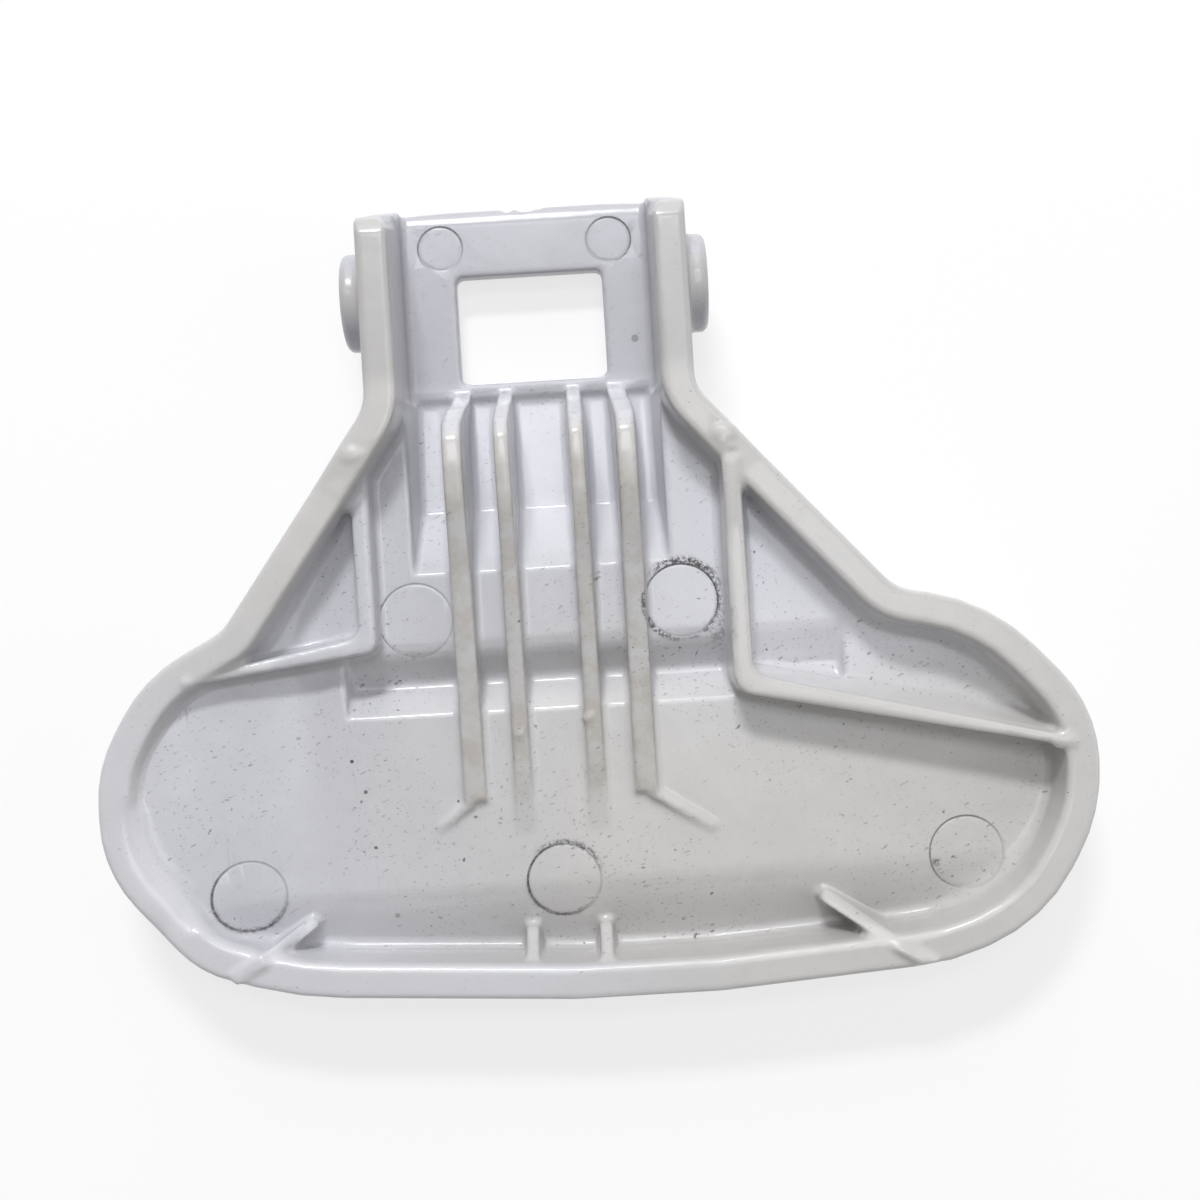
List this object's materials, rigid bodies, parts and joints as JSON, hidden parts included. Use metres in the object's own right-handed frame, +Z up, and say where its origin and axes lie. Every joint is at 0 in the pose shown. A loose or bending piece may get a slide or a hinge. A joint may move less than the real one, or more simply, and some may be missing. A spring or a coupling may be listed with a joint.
{
  "type": "washing machine door handle",
  "caption": "Moulded white plastic door handle with a windowed tab, two pivot bosses, long stiffening ribs and a wide two-lobed grip.",
  "frame": {"origin": "middle of the bounding box at the surface the handle lies on", "axes": "+X along the pivot axis, which is across the handle and its longest extent, +Y from the grip towards the tab, +Z up, away from the outer face"},
  "size_m": [0.106, 0.0872, 0.0165],
  "materials": {
    "white_plastic": "gloss moulded, lightly soiled"
  },
  "bodies": {
    "root": {"handle_moulding": "white_plastic"}
  },
  "joints": []
}
